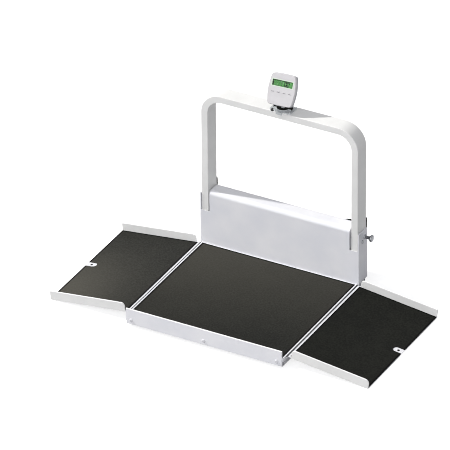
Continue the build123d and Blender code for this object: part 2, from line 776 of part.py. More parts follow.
axle_out = castor_height - wheel_radius
fork_half = fork_inner / 2
disc_low = castor_plate_thickness + castor_gap
disc_high = disc_low + swivel_height
for name, (x, z) in castor_places.items():
    angle = radians(castor_angles[name])
    trail_dir = Vector(cos(angle), 0, sin(angle))
    axle_dir = Vector(0, 1, 0).cross(trail_dir)
    castor_frame = Plane((x, box_back, z), x_dir=trail_dir, z_dir=(0, 1, 0))
    fork_frame = Plane((x, box_back, z), x_dir=trail_dir, z_dir=-axle_dir)
    with BuildPart() as castor_fork:
        with BuildSketch(castor_frame.offset(disc_low)):
            Circle(swivel_radius)
            Circle(stem_radius + running_clearance, mode=Mode.SUBTRACT)
        extrude(amount=swivel_height)
        with BuildSketch(castor_frame.offset(disc_high)):
            with Locations(((castor_trail - fork_width / 2) / 2, 0)):
                RectangleRounded(castor_trail + fork_width / 2, fork_inner + 2 * fork_sheet, fork_sheet)
            Circle(stem_radius + running_clearance, mode=Mode.SUBTRACT)
        extrude(amount=fork_sheet)
        for face_side in (-1, 1):
            with BuildSketch(fork_frame.offset(face_side * (fork_half + fork_sheet / 2) - fork_sheet / 2)):
                with BuildLine():
                    Polyline((-fork_width / 2, disc_high), (castor_trail, disc_high),
                             (castor_trail + axle_head_radius, axle_out), (castor_trail, axle_out + axle_head_radius),
                             (castor_trail - axle_head_radius, axle_out), close=True)
                make_face()
            extrude(amount=fork_sheet)
        with BuildSketch(fork_frame.offset(-(fork_half + fork_sheet + axle_head_height))):
            with Locations((castor_trail, axle_out)):
                Circle(axle_radius)
        extrude(amount=fork_inner + 2 * (fork_sheet + axle_head_height))
        for face_side in (-1, 1):
            with BuildSketch(fork_frame.offset(face_side * (fork_half + fork_sheet))):
                with Locations((castor_trail, axle_out)):
                    RegularPolygon(axle_head_radius, 6)
            extrude(amount=face_side * axle_head_height)
    save(castor_fork, f"castor_fork_{name}")
    with BuildPart() as castor_wheel:
        with BuildSketch(castor_frame.offset(axle_out)):
            half = wheel_width / 2
            web = half - wheel_web_recess
            bore, hub, rim, tread = (castor_trail + r for r in (axle_radius + running_clearance, hub_radius,
                                    wheel_radius - wheel_rim, wheel_radius))
            with BuildLine():
                Polyline((rim, -half), (rim, -web), (hub, -web), (hub, -half), (bore, -half), (bore, half), (hub, half),
                         (hub, web), (rim, web), (rim, half), (tread - wheel_edge_chamfer, half),
                         (tread, half - wheel_edge_chamfer), (tread, -half + wheel_edge_chamfer),
                         (tread - wheel_edge_chamfer, -half), close=True)
            make_face()
        axle_point = castor_frame.from_local_coords((castor_trail, 0, axle_out))
        revolve(axis=Axis(axle_point, axle_dir))
    save(castor_wheel, f"castor_wheel_{name}")

# Display saddle, clamped on the top bar, with a tongue over its front edge
saddle_top = handrail_top + saddle_thickness
saddle_depth = tube_depth - 2 * saddle_margin
with BuildPart() as display_saddle:
    with BuildSketch(Plane.XY.offset(handrail_top)):
        with Locations((0, bar_mid_y)):
            RectangleRounded(saddle_length, saddle_depth, saddle_radius)
        with Locations((0, (post_y + bar_mid_y) / 2 - saddle_thickness / 2)):
            Rectangle(tongue_width, tube_depth / 2 + saddle_thickness)
    extrude(amount=saddle_thickness)
    with Locations((0, post_y - saddle_thickness / 2, handrail_top - tongue_drop / 2)):
        Box(tongue_width, saddle_thickness, tongue_drop)
    with BuildSketch(Plane.XY.offset(saddle_top)):
        with Locations((0, bar_mid_y)):
            Circle(pan_stud)
    extrude(amount=turntable_height + 2 * turntable_gap)
    with BuildSketch(Plane.XY.offset(saddle_top + turntable_height + 2 * turntable_gap)):
        with Locations((0, bar_mid_y)):
            Circle(pan_stud_head)
    extrude(amount=pan_stud_head_height)
save(display_saddle, "display_saddle")

with BuildPart() as saddle_screws:
    with BuildSketch(Plane.XY.offset(saddle_top)):
        with Locations((0, bar_mid_y)):
            with GridLocations(2 * saddle_screw_x, saddle_depth - 2 * saddle_radius, 2, 2):
                Circle(saddle_screw_radius)
    extrude(amount=saddle_screw_height, taper=20)
save(saddle_screws, "saddle_screws")

# Yoke and head share one vertical pan axis and one cross axis for the tilt
tilt_z = handrail_top + tilt_axis_height
yaw = radians(head_yaw)
tilt = radians(head_tilt)
head_x = Vector(cos(yaw), sin(yaw), 0)
head_front = Vector(sin(yaw), -cos(yaw), 0)
pan_frame = Plane((0, bar_mid_y, 0), x_dir=head_x, z_dir=(0, 0, 1))
ear_frame = Plane((0, bar_mid_y, tilt_z), x_dir=(0, 0, 1), z_dir=head_x)
table_low = saddle_top + turntable_gap
table_high = table_low + turntable_height
with BuildPart() as display_yoke:
    with BuildSketch(pan_frame.offset(table_low)):
        Circle(turntable_radius)
        Rectangle(2 * (yoke_ear_x + yoke_ear_thickness), 2 * yoke_ear_radius)
        Circle(pan_stud + running_clearance, mode=Mode.SUBTRACT)
    extrude(amount=turntable_height)
    for side in (-1, 1):
        with BuildSketch(ear_frame.offset(side * yoke_ear_x)):
            Circle(yoke_ear_radius)
            with Locations((-(tilt_z - table_high) / 2, 0)):
                Rectangle(tilt_z - table_high, 2 * yoke_ear_radius)
            Circle(tilt_bolt_radius + fit_clearance, mode=Mode.SUBTRACT)
        extrude(amount=side * yoke_ear_thickness)
save(display_yoke, "display_yoke")

with BuildPart() as tilt_bolt:
    with BuildSketch(ear_frame.offset(-(yoke_ear_x + yoke_ear_thickness))):
        Circle(tilt_bolt_radius)
    extrude(amount=2 * (yoke_ear_x + yoke_ear_thickness))
    for side in (-1, 1):
        with BuildSketch(ear_frame.offset(side * (yoke_ear_x + yoke_ear_thickness))):
            Circle(tilt_knob_radius)
        extrude(amount=side * tilt_knob_height, taper=8)
save(tilt_bolt, "tilt_bolt")

# Head: local X across the face, local Y up the face, local Z out of the face
face_normal = head_front * cos(tilt) + Vector(0, 0, sin(tilt))
face_up = Vector(0, 0, cos(tilt)) - head_front * sin(tilt)
head_depth = head_front_depth + head_seam + head_back_depth
face_centre = (Vector(0, bar_mid_y, tilt_z) + face_normal * (lug_setback + head_depth) + face_up * lug_drop)
face_frame = Plane(face_centre, x_dir=head_x, z_dir=face_normal)
half_height = head_height / 2


def head_outline(margin):
    """Barrel-sided outline of the head, drawn in by a margin."""
    top = half_height - margin
    low = -half_height + margin
    with BuildLine() as outline:
        ThreePointArc((-head_top_width / 2 + margin, top - head_bow), (0, top), (head_top_width / 2 - margin, top - head_bow))
        ThreePointArc((head_top_width / 2 - margin, top - head_bow), (head_mid_width / 2 - margin, 0),
                      (head_bottom_width / 2 - margin, low + head_bow))
        ThreePointArc((head_bottom_width / 2 - margin, low + head_bow), (0, low),
                      (-head_bottom_width / 2 + margin, low + head_bow))
        ThreePointArc((-head_bottom_width / 2 + margin, low + head_bow), (-head_mid_width / 2 + margin, 0),
                      (-head_top_width / 2 + margin, top - head_bow))
    return outline


def head_slab(plane, depth, margin, back_chamfer=0):
    """Closed slab of the head outline, from a plane back into the head, its far edge bevelled if asked."""
    with BuildPart() as slab:
        with BuildSketch(plane) as face:
            add(head_outline(margin).line)
            make_face()
            fillet(face.vertices(), radius=head_corner_radius - margin)
        extrude(amount=-depth)
        if back_chamfer:
            chamfer(slab.faces().sort_by(Axis(plane.origin, plane.z_dir))[0].edges(), length=back_chamfer)
    return slab


window_y = half_height - window_top - window_height / 2
key_y = half_height - key_row
key_x = [(i - (key_count - 1) / 2) * key_pitch for i in range(key_count)]
front_shell_solid = head_slab(face_frame, head_front_depth, 0)
front_shell_core = head_slab(face_frame.offset(-head_wall), head_front_depth, head_wall)
with BuildPart() as display_front:
    add(front_shell_solid.part)
    chamfer(display_front.edges().filter_by(lambda e: abs((e.center() - face_centre).dot(face_normal))
                                            < running_clearance), length=head_edge_chamfer)
    add(front_shell_core.part, mode=Mode.SUBTRACT)
    with BuildSketch(face_frame.offset(overrun)):
        with Locations((0, window_y)):
            Rectangle(window_width, window_height)
        for x in key_x:
            with Locations((x, key_y)):
                SlotOverall(key_length + 2 * key_clearance, key_width + 2 * key_clearance)
    extrude(amount=-(head_wall + 2 * overrun), mode=Mode.SUBTRACT)
save(display_front, "display_front")

seam_plane = face_frame.offset(-head_front_depth)
seam_solid = head_slab(seam_plane, head_seam, head_seam / 2)
seam_core = head_slab(seam_plane.offset(overrun), head_seam + 2 * overrun, head_wall)
with BuildPart() as display_seal:
    add(seam_solid.part)
    add(seam_core.part, mode=Mode.SUBTRACT)
save(display_seal, "display_seal")

back_plane = face_frame.offset(-(head_front_depth + head_seam))
back_solid = head_slab(back_plane, head_back_depth, 0, head_back_chamfer)
back_core = head_slab(back_plane.offset(overrun), head_back_depth - head_wall + overrun, head_wall,
                      head_back_chamfer - head_wall)
lug_frame = Plane((0, bar_mid_y, tilt_z), x_dir=face_up, z_dir=head_x)
lug_half = yoke_ear_x - yoke_gap
with BuildPart() as display_back:
    add(back_solid.part)
    with BuildSketch(lug_frame.offset(-lug_half)):
        Circle(lug_radius)
        with Locations((0, (lug_setback + head_wall) / 2)):
            Rectangle(2 * lug_radius, lug_setback + head_wall)
    extrude(amount=2 * lug_half)
    add(back_core.part, mode=Mode.SUBTRACT)
    with BuildSketch(lug_frame.offset(-lug_half)):
        Circle(tilt_bolt_radius + running_clearance)
    extrude(amount=2 * lug_half, mode=Mode.SUBTRACT)
save(display_back, "display_back")

with BuildPart() as lcd_window:
    with BuildSketch(face_frame.offset(-window_recess)):
        with Locations((0, window_y)):
            Rectangle(window_width - 2 * window_clearance, window_height - 2 * window_clearance)
    extrude(amount=-window_sheet)
save(lcd_window, "lcd_window")

with BuildPart() as lcd_module:
    with BuildSketch(face_frame.offset(-(window_recess + window_sheet))):
        with Locations((0, window_y)):
            Rectangle(window_width - 2 * window_clearance, window_height - 2 * window_clearance)
    extrude(amount=-lcd_thickness)
save(lcd_module, "lcd_module")

board_front = window_recess + window_sheet + lcd_thickness
with BuildPart() as display_board:
    with BuildSketch(face_frame.offset(-board_front)):
        Rectangle(head_top_width - 2 * board_margin, head_height - 2 * board_margin)
    extrude(amount=-board_thickness)
save(display_board, "display_board")

for number, x in enumerate(key_x, start=1):
    with BuildPart() as key:
        with BuildSketch(face_frame.offset(key_rise)):
            with Locations((x, key_y)):
                SlotOverall(key_length, key_width)
        extrude(amount=-(key_rise + key_depth))
        chamfer(key.faces().sort_by(Axis(face_centre, face_normal))[-1].edges(), length=key_rise / 2)
        with BuildSketch(face_frame.offset(-(head_wall + key_flange_gap))):
            with Locations((x, key_y)):
                SlotOverall(key_length + 2 * (key_clearance + key_flange), key_width + 2 * (key_clearance + key_flange))
        extrude(amount=-(key_depth - head_wall - key_flange_gap))
    save(key, f"display_key_{number}")
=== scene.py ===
import bpy, math
import numpy as np
from mathutils import Matrix, Vector


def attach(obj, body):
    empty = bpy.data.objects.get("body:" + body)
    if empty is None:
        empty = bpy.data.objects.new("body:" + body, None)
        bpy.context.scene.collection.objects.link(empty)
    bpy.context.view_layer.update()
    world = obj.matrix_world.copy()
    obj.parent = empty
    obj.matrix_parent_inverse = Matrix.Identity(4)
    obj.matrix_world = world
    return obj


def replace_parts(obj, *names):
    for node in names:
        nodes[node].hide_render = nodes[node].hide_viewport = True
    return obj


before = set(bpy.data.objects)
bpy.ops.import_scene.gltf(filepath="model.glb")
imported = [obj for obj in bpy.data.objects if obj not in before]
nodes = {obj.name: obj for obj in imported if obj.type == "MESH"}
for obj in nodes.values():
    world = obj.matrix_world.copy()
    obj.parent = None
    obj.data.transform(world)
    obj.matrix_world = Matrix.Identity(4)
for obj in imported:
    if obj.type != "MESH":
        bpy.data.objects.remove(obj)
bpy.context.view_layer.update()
print("frame loaded:", len(nodes), "CAD nodes")


def toLinear(hexText):
    # sRGB hex to linear RGBA, by the standard curve with its straight foot
    values = [int(hexText[i:i + 2], 16) / 255 for i in (1, 3, 5)]
    return [v / 12.92 if v <= 0.04045 else ((v + 0.055) / 1.055) ** 2.4 for v in values] + [1.0]


def addNode(tree, kind, inputs=None, **settings):
    # one node: its settings, then each input as a value or as a link from another node's socket
    node = tree.nodes.new(kind)
    for key, value in settings.items():
        setattr(node, key, value)
    for key, value in (inputs or {}).items():
        socket = next((s for s in node.inputs if s.enabled and key in (s.name, s.identifier)), None) or node.inputs[key]
        if isinstance(value, bpy.types.NodeSocket):
            tree.links.new(value, socket)
        else:
            socket.default_value = value
    return node


def startMaterial(name):
    # an empty node tree with its output, and the piece's own coordinates for the patterns
    material = bpy.data.materials.new(name)
    material.use_nodes = True
    tree = material.node_tree
    tree.nodes.clear()
    out = addNode(tree, "ShaderNodeOutputMaterial")
    place = addNode(tree, "ShaderNodeTexCoord").outputs["Object"]
    return material, tree, out, place


def colourRamp(tree, factor, stops):
    # stops are pairs of a position and a hex colour
    stops = list(stops)
    ramp = addNode(tree, "ShaderNodeValToRGB", {"Fac": factor})
    while len(ramp.color_ramp.elements) < len(stops):
        ramp.color_ramp.elements.new(0.5)
    for element, (position, colour) in zip(ramp.color_ramp.elements, stops):
        element.position = position
        element.color = toLinear(colour)
    return ramp.outputs["Color"]


def dress(material, *names):
    for name in names:
        slots = nodes[name].data.materials
        slots.clear()
        slots.append(material)


# Powder-coated sheet steel: a slightly uneven satin white, cooler in broad random clouds. The orange peel is drawn at
# 2.2 mm, coarser than the real one, so that it shows at all
coat = {"pale": "#f0f0f3", "cool": "#e8e9ee", "spread": (0.35, 0.65), "cloudMm": 160, "peelMm": 2.2,
        "peelDepthMm": 0.4, "peelStrength": 0.06, "roughness": 0.42, "shine": 0.35}


def powderCoat(name="powderCoatedSteel", pale=coat["pale"], cool=coat["cool"], roughness=coat["roughness"]):
    material, tree, out, place = startMaterial(name)
    clouds = addNode(tree, "ShaderNodeTexNoise", {"Vector": place, "Scale": 1000 / coat["cloudMm"], "Detail": 3.0})
    peel = addNode(tree, "ShaderNodeTexNoise", {"Vector": place, "Scale": 1000 / coat["peelMm"], "Detail": 1.0})
    colour = colourRamp(tree, clouds.outputs["Fac"], zip(coat["spread"], (cool, pale)))
    bump = addNode(tree, "ShaderNodeBump", {"Height": peel.outputs["Fac"], "Strength": coat["peelStrength"],
                   "Distance": coat["peelDepthMm"] / 1000})
    shader = addNode(tree, "ShaderNodeBsdfPrincipled", {"Base Color": colour, "Roughness": roughness, "IOR": 1.5,
                     "Specular IOR Level": coat["shine"], "Normal": bump.outputs["Normal"]})
    tree.links.new(shader.outputs["BSDF"], out.inputs["Surface"])
    return material


# Calendered rubber matting: matt charcoal with a fine pebble, duller along its cut edges, where no shoe or wheel
# polishes it. The blacker band along those edges is painted shade; the paler, warmer corners are painted sheen
matting = {"dark": "#10110e", "worn": "#181915", "spread": (0.42, 0.58), "dustAndSheen": "#4e4c45", "pebbleMm": 3.0,
           "pebbleDepthMm": 0.6, "pebbleStrength": 0.3, "grainMm": 9.0, "grainShare": 0.45, "scuffMm": 90,
           "edge": "#040404", "edgeMm": (5.4, 12.6), "edgeRoughness": 0.95, "roughness": (0.78, 0.62),
           "polish": (0.35, 0.65)}


def rubberMatting(name, piece, sheenShare, shine):
    # sheenShare is the share of painted sheen at the piece's corners, front left and right, then back left and right
    material, tree, out, place = startMaterial(name)
    corners = np.array(nodes[piece].bound_box)
    low, high = corners.min(axis=0), corners.max(axis=0)
    spot = addNode(tree, "ShaderNodeSeparateXYZ", {"Vector": place})
    pebble = addNode(tree, "ShaderNodeTexVoronoi", {"Vector": place, "Scale": 1000 / matting["pebbleMm"]})
    grain = addNode(tree, "ShaderNodeTexNoise", {"Vector": place, "Scale": 1000 / matting["grainMm"], "Detail": 2.0})
    scuff = addNode(tree, "ShaderNodeTexNoise", {"Vector": place, "Scale": 1000 / matting["scuffMm"], "Detail": 6.0,
                    "Roughness": 0.62})
    mottle = addNode(tree, "ShaderNodeMix", {"Factor": matting["grainShare"], "A": scuff.outputs["Fac"],
                     "B": grain.outputs["Fac"]}, data_type="FLOAT")
    rubber = colourRamp(tree, mottle.outputs["Result"], zip(matting["spread"], (matting["dark"], matting["worn"])))
    # painted sheen: along X at the front and at the back, then along Y between the two
    rows = [addNode(tree, "ShaderNodeMapRange", {"Value": spot.outputs["X"], "From Min": low[0], "From Max": high[0],
                    "To Min": left, "To Max": right}, interpolation_type="SMOOTHSTEP")
            for left, right in (sheenShare[:2], sheenShare[2:])]
    sheenFall = addNode(tree, "ShaderNodeMapRange", {"Value": spot.outputs["Y"], "From Min": low[1], "From Max": high[1],
                       "To Min": rows[0].outputs["Result"], "To Max": rows[1].outputs["Result"]},
                       interpolation_type="SMOOTHSTEP")
    sheened = addNode(tree, "ShaderNodeMix", {"Factor": sheenFall.outputs["Result"], "A": rubber,
                     "B": toLinear(matting["dustAndSheen"])}, data_type="RGBA")
    # distance to the nearest edge = half the mat's size less the distance from its middle, the smaller of X and Y
    gaps = []
    for axis in (0, 1):
        away = addNode(tree, "ShaderNodeMath", {0: spot.outputs["XY"[axis]], 1: (low[axis] + high[axis]) / 2},
                       operation="SUBTRACT")
        size = addNode(tree, "ShaderNodeMath", {0: away.outputs["Value"]}, operation="ABSOLUTE")
        gaps.append(addNode(tree, "ShaderNodeMath", {0: (high[axis] - low[axis]) / 2, 1: size.outputs["Value"]},
                            operation="SUBTRACT").outputs["Value"])
    gap = addNode(tree, "ShaderNodeMath", {0: gaps[0], 1: gaps[1]}, operation="MINIMUM")
    inside = addNode(tree, "ShaderNodeMapRange", {"Value": gap.outputs["Value"],
                     "From Min": matting["edgeMm"][0] / 1000, "From Max": matting["edgeMm"][1] / 1000})
    # the blacker band along the edges is painted shade, where the flanges and the lip shade the mat
    colour = addNode(tree, "ShaderNodeMix", {"Factor": inside.outputs["Result"], "A": toLinear(matting["edge"]),
                     "B": next(o for o in sheened.outputs if o.enabled)}, data_type="RGBA")
    polish = addNode(tree, "ShaderNodeMapRange", {"Value": grain.outputs["Fac"], "From Min": matting["polish"][0],
                     "From Max": matting["polish"][1], "To Min": matting["roughness"][0],
                     "To Max": matting["roughness"][1]})
    rough = addNode(tree, "ShaderNodeMix", {"Factor": inside.outputs["Result"], "A": matting["edgeRoughness"],
                    "B": polish.outputs["Result"]}, data_type="FLOAT")
    bump = addNode(tree, "ShaderNodeBump", {"Height": pebble.outputs["Distance"], "Strength": matting["pebbleStrength"],
                   "Distance": matting["pebbleDepthMm"] / 1000}, invert=True)
    shader = addNode(tree, "ShaderNodeBsdfPrincipled", {"Base Color": next(o for o in colour.outputs if o.enabled),
                     "Roughness": rough.outputs["Result"], "IOR": 1.5, "Specular IOR Level": shine,
                     "Normal": bump.outputs["Normal"]})
    tree.links.new(shader.outputs["BSDF"], out.inputs["Surface"])
    return material


# Moulded rubber and ABS: a fine spark-eroded grain that breaks up the gloss, and a barely uneven tone
moulding = {"toneMm": 55.5, "spread": (0.3, 0.7), "grainDepthMm": 0.2}


def mouldedPlastic(name, low, high, roughness, grainMm=1.2, strength=0.15, shine=0.5):
    material, tree, out, place = startMaterial(name)
    grain = addNode(tree, "ShaderNodeTexNoise", {"Vector": place, "Scale": 1000 / grainMm, "Detail": 2.0})
    tone = addNode(tree, "ShaderNodeTexNoise", {"Vector": place, "Scale": 1000 / moulding["toneMm"], "Detail": 3.0})
    colour = colourRamp(tree, tone.outputs["Fac"], zip(moulding["spread"], (low, high)))
    bump = addNode(tree, "ShaderNodeBump", {"Height": grain.outputs["Fac"], "Strength": strength,
                   "Distance": moulding["grainDepthMm"] / 1000})
    shader = addNode(tree, "ShaderNodeBsdfPrincipled", {"Base Color": colour, "Roughness": roughness, "IOR": 1.5,
                     "Specular IOR Level": shine, "Normal": bump.outputs["Normal"]})
    tree.links.new(shader.outputs["BSDF"], out.inputs["Surface"])
    return material


# Zinc-plated, chromed or bare metal: fine drawn lines change its tone and its roughness a little. They are drawn
# at 2.5 mm, coarser than real ones, so that they show
plating = {"lineMm": 2.5, "spread": (0.3, 0.7)}


def platedSteel(name, low, high, roughLow, roughHigh, stretch=(1, 1, 1)):
    material, tree, out, place = startMaterial(name)
    scaled = addNode(tree, "ShaderNodeMapping", {"Vector": place, "Scale": stretch})
    lines = addNode(tree, "ShaderNodeTexNoise", {"Vector": scaled.outputs["Vector"],
                    "Scale": 1000 / plating["lineMm"], "Detail": 2.0})
    colour = colourRamp(tree, lines.outputs["Fac"], zip(plating["spread"], (low, high)))
    rough = addNode(tree, "ShaderNodeMapRange", {"Value": lines.outputs["Fac"], "From Min": plating["spread"][0],
                    "From Max": plating["spread"][1], "To Min": roughLow, "To Max": roughHigh})
    shader = addNode(tree, "ShaderNodeBsdfPrincipled", {"Base Color": colour, "Metallic": 1.0,
                     "Roughness": rough.outputs["Result"]})
    tree.links.new(shader.outputs["BSDF"], out.inputs["Surface"])
    return material


# Clear cast acrylic window, faintly green, with a trace of wiped dust: it mirrors only at grazing angles
acrylic = {"tint": "#f2fbf3", "gloss": "#ffffff", "ior": 1.3, "dustMm": 8.3, "roughness": (0.03, 0.08)}


def clearAcrylic():
    material, tree, out, place = startMaterial("clearAcrylic")
    dustAndSheen = addNode(tree, "ShaderNodeTexNoise", {"Vector": place, "Scale": 1000 / acrylic["dustMm"], "Detail": 3.0})
    rough = addNode(tree, "ShaderNodeMapRange", {"Value": dustAndSheen.outputs["Fac"], "To Min": acrylic["roughness"][0],
                    "To Max": acrylic["roughness"][1]})
    gloss = addNode(tree, "ShaderNodeBsdfGlossy", {"Color": toLinear(acrylic["gloss"]),
                    "Roughness": rough.outputs["Result"]})
    clear = addNode(tree, "ShaderNodeBsdfTransparent", {"Color": toLinear(acrylic["tint"])})
    edge = addNode(tree, "ShaderNodeFresnel", {"IOR": acrylic["ior"]})
    mix = addNode(tree, "ShaderNodeMixShader", {0: edge.outputs["Fac"], 1: clear.outputs["BSDF"],
                  2: gloss.outputs["BSDF"]})
    tree.links.new(mix.outputs["Shader"], out.inputs["Surface"])
    return material


# Back-lit LCD film: an even green glow, a little cloudy
lcd = {"green": "#66b85b", "deep": "#52a84a", "spread": (0.3, 0.7), "cloudMm": 33.3, "roughness": 0.5, "glow": 0.62}


def glowingLcd():
    material, tree, out, place = startMaterial("backlitLcd")
    cloud = addNode(tree, "ShaderNodeTexNoise", {"Vector": place, "Scale": 1000 / lcd["cloudMm"], "Detail": 1.0})
    colour = colourRamp(tree, cloud.outputs["Fac"], zip(lcd["spread"], (lcd["deep"], lcd["green"])))
    shader = addNode(tree, "ShaderNodeBsdfPrincipled", {"Base Color": colour, "Roughness": lcd["roughness"],
                     "Emission Color": colour, "Emission Strength": lcd["glow"]})
    tree.links.new(shader.outputs["BSDF"], out.inputs["Surface"])
    return material


whiteCoat = powderCoat()
tubeCoat = powderCoat("powderCoatedTube", "#f3f3f1", "#ececea")
frameCoat = powderCoat("powderCoatedFrame", "#e9eaed", "#dfe0e4", 0.45)
# whiter, shinier coat for upward faces of the top edges and the ledge: a painted highlight
highlightCoat = powderCoat("paintedHighlightCoat", "#ffffff", "#fbfbfb", 0.3)
blackRubber = mouldedPlastic("mouldedBlackRubber", "#141412", "#1f1f1c", 0.8, 2.0, 0.3, 0.1)
darkPlastic = mouldedPlastic("mouldedBlackNylon", "#1c1d1f", "#26272a", 0.5)
shellPlastic = mouldedPlastic("mouldedWhiteAbs", "#c9c7c9", "#d0ced0", 0.35, 1.0, 0.08)
backPlastic = mouldedPlastic("mouldedGreyAbs", "#b6b7be", "#c0c1c8", 0.45)
bracketGrey = mouldedPlastic("greyCastBracket", "#b9bdbf", "#c6cacc", 0.4)
zincSteel = platedSteel("zincPlatedSteel", "#a9abad", "#c3c5c8", 0.25, 0.42)
chromeSteel = platedSteel("chromedSteel", "#7c7e81", "#94969a", 0.08, 0.16, (1, 8, 8))
castAlloy = platedSteel("machinedAluminium", "#c2c4c8", "#d2d4d8", 0.3, 0.45, (1, 10, 10))

dress(whiteCoat, "front_lip", "edge_strip_left", "edge_strip_right", "ramp_plate_left", "ramp_plate_right",
      "rear_box", "rear_cover", "deck_plate")
dress(tubeCoat, "handrail_tube", "ramp_flanges_left", "ramp_flanges_right")
dress(frameCoat, "base_crossbar_left", "base_crossbar_right", "base_rail_front", "base_rail_left",
      "base_rail_rear", "base_rail_right")
# The deck's and the left ramp's mats get painted sheen towards some corners; the right ramp's mat gets none
dress(rubberMatting("deckRubberMatting", "deck_mat", (0.16, 0.0, 0.56, 0.34), 0.15), "deck_mat")
dress(rubberMatting("sheenPaintedRampMatting", "ramp_mat_left", (1.0, 0.18, 0.08, 0.08), 0.19), "ramp_mat_left")
dress(rubberMatting("rampRubberMatting", "ramp_mat_right", (0.0, 0.0, 0.0, 0.0), 0.10), "ramp_mat_right")
dress(blackRubber, "foot_pads", "ramp_glide_left", "ramp_glide_right", "display_seal", "post_buffers",
      *[n for n in nodes if n.startswith("castor_wheel")])
dress(darkPlastic, "junction_box", "post_plugs", "tilt_bolt", "pivot_bushes")
dress(bracketGrey, "display_saddle", "display_yoke")
dress(shellPlastic, "display_front", *[n for n in nodes if n.startswith("display_key")])
dress(backPlastic, "display_back")
dress(zincSteel, "plunger_sleeve", "castor_plates", "level_feet", "lip_screws", "cover_screws", "saddle_screws",
      "hinge_rod_left", "hinge_rod_right", *[n for n in nodes if n.startswith("castor_fork")])
# darker steel on the pivot bolts: painted shade, so that the bolt heads show as dark dots
dress(platedSteel("shadeDarkBoltSteel", "#6f7173", "#85878a", 0.3, 0.45), "pivot_bolts")
dress(chromeSteel, "plunger_knob")
dress(castAlloy, "load_cells")
dress(mouldedPlastic("displayBoard", "#16442a", "#1c5233", 0.5), "display_board")
dress(glowingLcd(), "lcd_module")
dress(clearAcrylic(), "lcd_window")

# Finishes that cover a part of a node. The rolled knuckles of the piano hinges are bare steel, darkened as painted
# shade for the gap they sit in; the upward faces along the sheets' upper edges and the box's ledge get a whiter,
# shinier coat, a painted highlight; black rubber on the yoke's arms and the top of its foot is painted shade under
# the display. Heights and lengths in metres, the slope of the ramps in degrees
# darker steel on the hinge knuckles: painted shade for the gap between the strips
knuckleShadeSteel = platedSteel("shadedHingeSteel", "#4c4e50", "#636567", 0.45, 0.6)
hinge = {"x": 0.4585, "z": 0.060, "reach": 0.0044, "slope": 6.93}
edges = {"flange": 0.0445, "lip": 0.1045, "ledge": 0.258, "ledgeReach": 0.004, "yokeFoot": 0.971}
facing = {"flange": 0.3, "lip": 0.2, "ledge": 0.6, "yokeFoot": 0.7}   # least Z of a picked face's normal


def dressPart(name, material, chosen):
    # faces picked by their middles and normals, two arrays of X, Y and Z, take a second material
    mesh = nodes[name].data
    mesh.materials.append(material)
    middles, normals = np.empty(len(mesh.polygons) * 3), np.empty(len(mesh.polygons) * 3)
    mesh.polygons.foreach_get("center", middles)
    mesh.polygons.foreach_get("normal", normals)
    picked = chosen(middles.reshape(-1, 3), normals.reshape(-1, 3))
    old = np.empty(len(mesh.polygons), dtype=np.int32)
    mesh.polygons.foreach_get("material_index", old)
    mesh.polygons.foreach_set("material_index", np.where(picked, len(mesh.materials) - 1, old).astype(np.int32))


def onKnuckle(middles, normals):
    # distance from the hinge's axis
    return np.hypot(np.abs(middles[:, 0]) - hinge["x"], middles[:, 2] - hinge["z"]) < hinge["reach"]


def onFlangeTop(middles, normals):
    # height above the ramp's own plane = distance out x sine of the slope + rise x cosine
    slope = math.radians(hinge["slope"])
    height = (np.abs(middles[:, 0]) - hinge["x"]) * math.sin(slope) + (middles[:, 2] - hinge["z"]) * math.cos(slope)
    return (height > edges["flange"]) & (normals[:, 2] > facing["flange"])


def onLipTop(middles, normals):
    return (middles[:, 2] > edges["lip"]) & (normals[:, 2] > facing["lip"])


def onLedge(middles, normals):
    return (abs(middles[:, 2] - edges["ledge"]) < edges["ledgeReach"]) & (normals[:, 2] > facing["ledge"])


# the yoke's arms and the top of its foot take black rubber: painted shade under the display's head
def onYokeShade(middles, normals):
    return (middles[:, 2] > edges["yokeFoot"]) | (normals[:, 2] > facing["yokeFoot"])


for side in ("left", "right"):
    dressPart(f"edge_strip_{side}", knuckleShadeSteel, onKnuckle)
    dressPart(f"ramp_plate_{side}", knuckleShadeSteel, onKnuckle)
    dressPart(f"ramp_flanges_{side}", highlightCoat, onFlangeTop)
dressPart("front_lip", highlightCoat, onLipTop)
dressPart("rear_box", highlightCoat, onLedge)
dressPart("display_yoke", blackRubber, onYokeShade)
print("materials dressed")


# The display's face has a frame of its own: X across, Y up the face and Z out of it, in millimetres
head = {"barMiddle": 349.5, "tiltHeight": 1004, "yaw": 4, "tilt": 26, "setback": 54, "drop": 60, "halfHeight": 83,
        "windowTop": 34, "windowHeight": 32, "windowWidth": 113, "lcdDeep": 3, "keyRow": 96, "keyPitch": 31.5}


def faceMatrix():
    # middle of the face = the tilt axis over the bar + setback along the face's outward direction + drop up the face
    yaw, tilt = math.radians(head["yaw"]), math.radians(head["tilt"])
    across = Vector((math.cos(yaw), math.sin(yaw), 0))
    ahead = Vector((math.sin(yaw), -math.cos(yaw), 0))
    normal = ahead * math.cos(tilt) + Vector((0, 0, math.sin(tilt)))
    upward = Vector((0, 0, math.cos(tilt))) - ahead * math.sin(tilt)
    centre = Vector((0, head["barMiddle"], head["tiltHeight"])) + normal * head["setback"] + upward * head["drop"]
    return Matrix.Translation(centre / 1000) @ Matrix((across, upward, normal)).transposed().to_4x4()


face = faceMatrix()
windowMiddle = head["halfHeight"] - head["windowTop"] - head["windowHeight"] / 2
keyLine = head["halfHeight"] - head["keyRow"]


def meshPiece(name, points, faces, material, body):
    # points is an array in millimetres, in the row frame
    mesh = bpy.data.meshes.new(name)
    mesh.from_pydata(np.asarray(points, dtype=float) / 1000, [], faces)
    mesh.validate()
    piece = bpy.data.objects.new(name, mesh)
    bpy.context.scene.collection.objects.link(piece)
    mesh.materials.append(material)
    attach(piece, body)
    return piece


def onFace(flat, lift):
    # place = middle of the face + across x X + upward x Y + outward x lift
    turn = np.array(face.to_3x3())
    local = np.column_stack([flat, np.full(len(flat), lift)])
    return local @ turn.T + np.array(face.translation) * 1000


